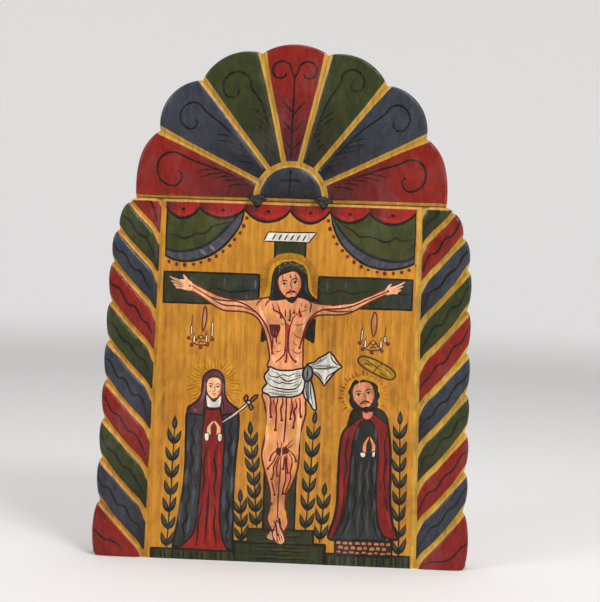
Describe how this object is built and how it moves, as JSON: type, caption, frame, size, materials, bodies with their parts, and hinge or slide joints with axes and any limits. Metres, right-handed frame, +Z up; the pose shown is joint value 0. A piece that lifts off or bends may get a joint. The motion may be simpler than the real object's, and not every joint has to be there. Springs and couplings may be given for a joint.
{
  "type": "retablo",
  "caption": "Painted pine retablo: flat panel between carved twisted columns, under a scalloped shell lunette laced on with leather.",
  "frame": {"origin": "middle of the underside's box, on the surface that the retablo stands on", "axes": "+Z up, front towards -Y, +X to the right when looking at the front"},
  "size_m": [0.2884, 0.0263, 0.3945],
  "materials": {
    "painted_panel": "water paint in ochre, red, green and blue-grey over pine, under a semi-gloss varnish, raw pine behind",
    "painted_lunette": "water paint in red, green and blue-grey with ochre grooves over pine, under a semi-gloss varnish, raw pine behind",
    "leather_tie": "dark oiled hide lace, matte"
  },
  "bodies": {
    "root": {"panel": "painted_panel", "lunette": "painted_lunette", "left_tie": "leather_tie", "right_tie": "leather_tie"}
  },
  "joints": []
}
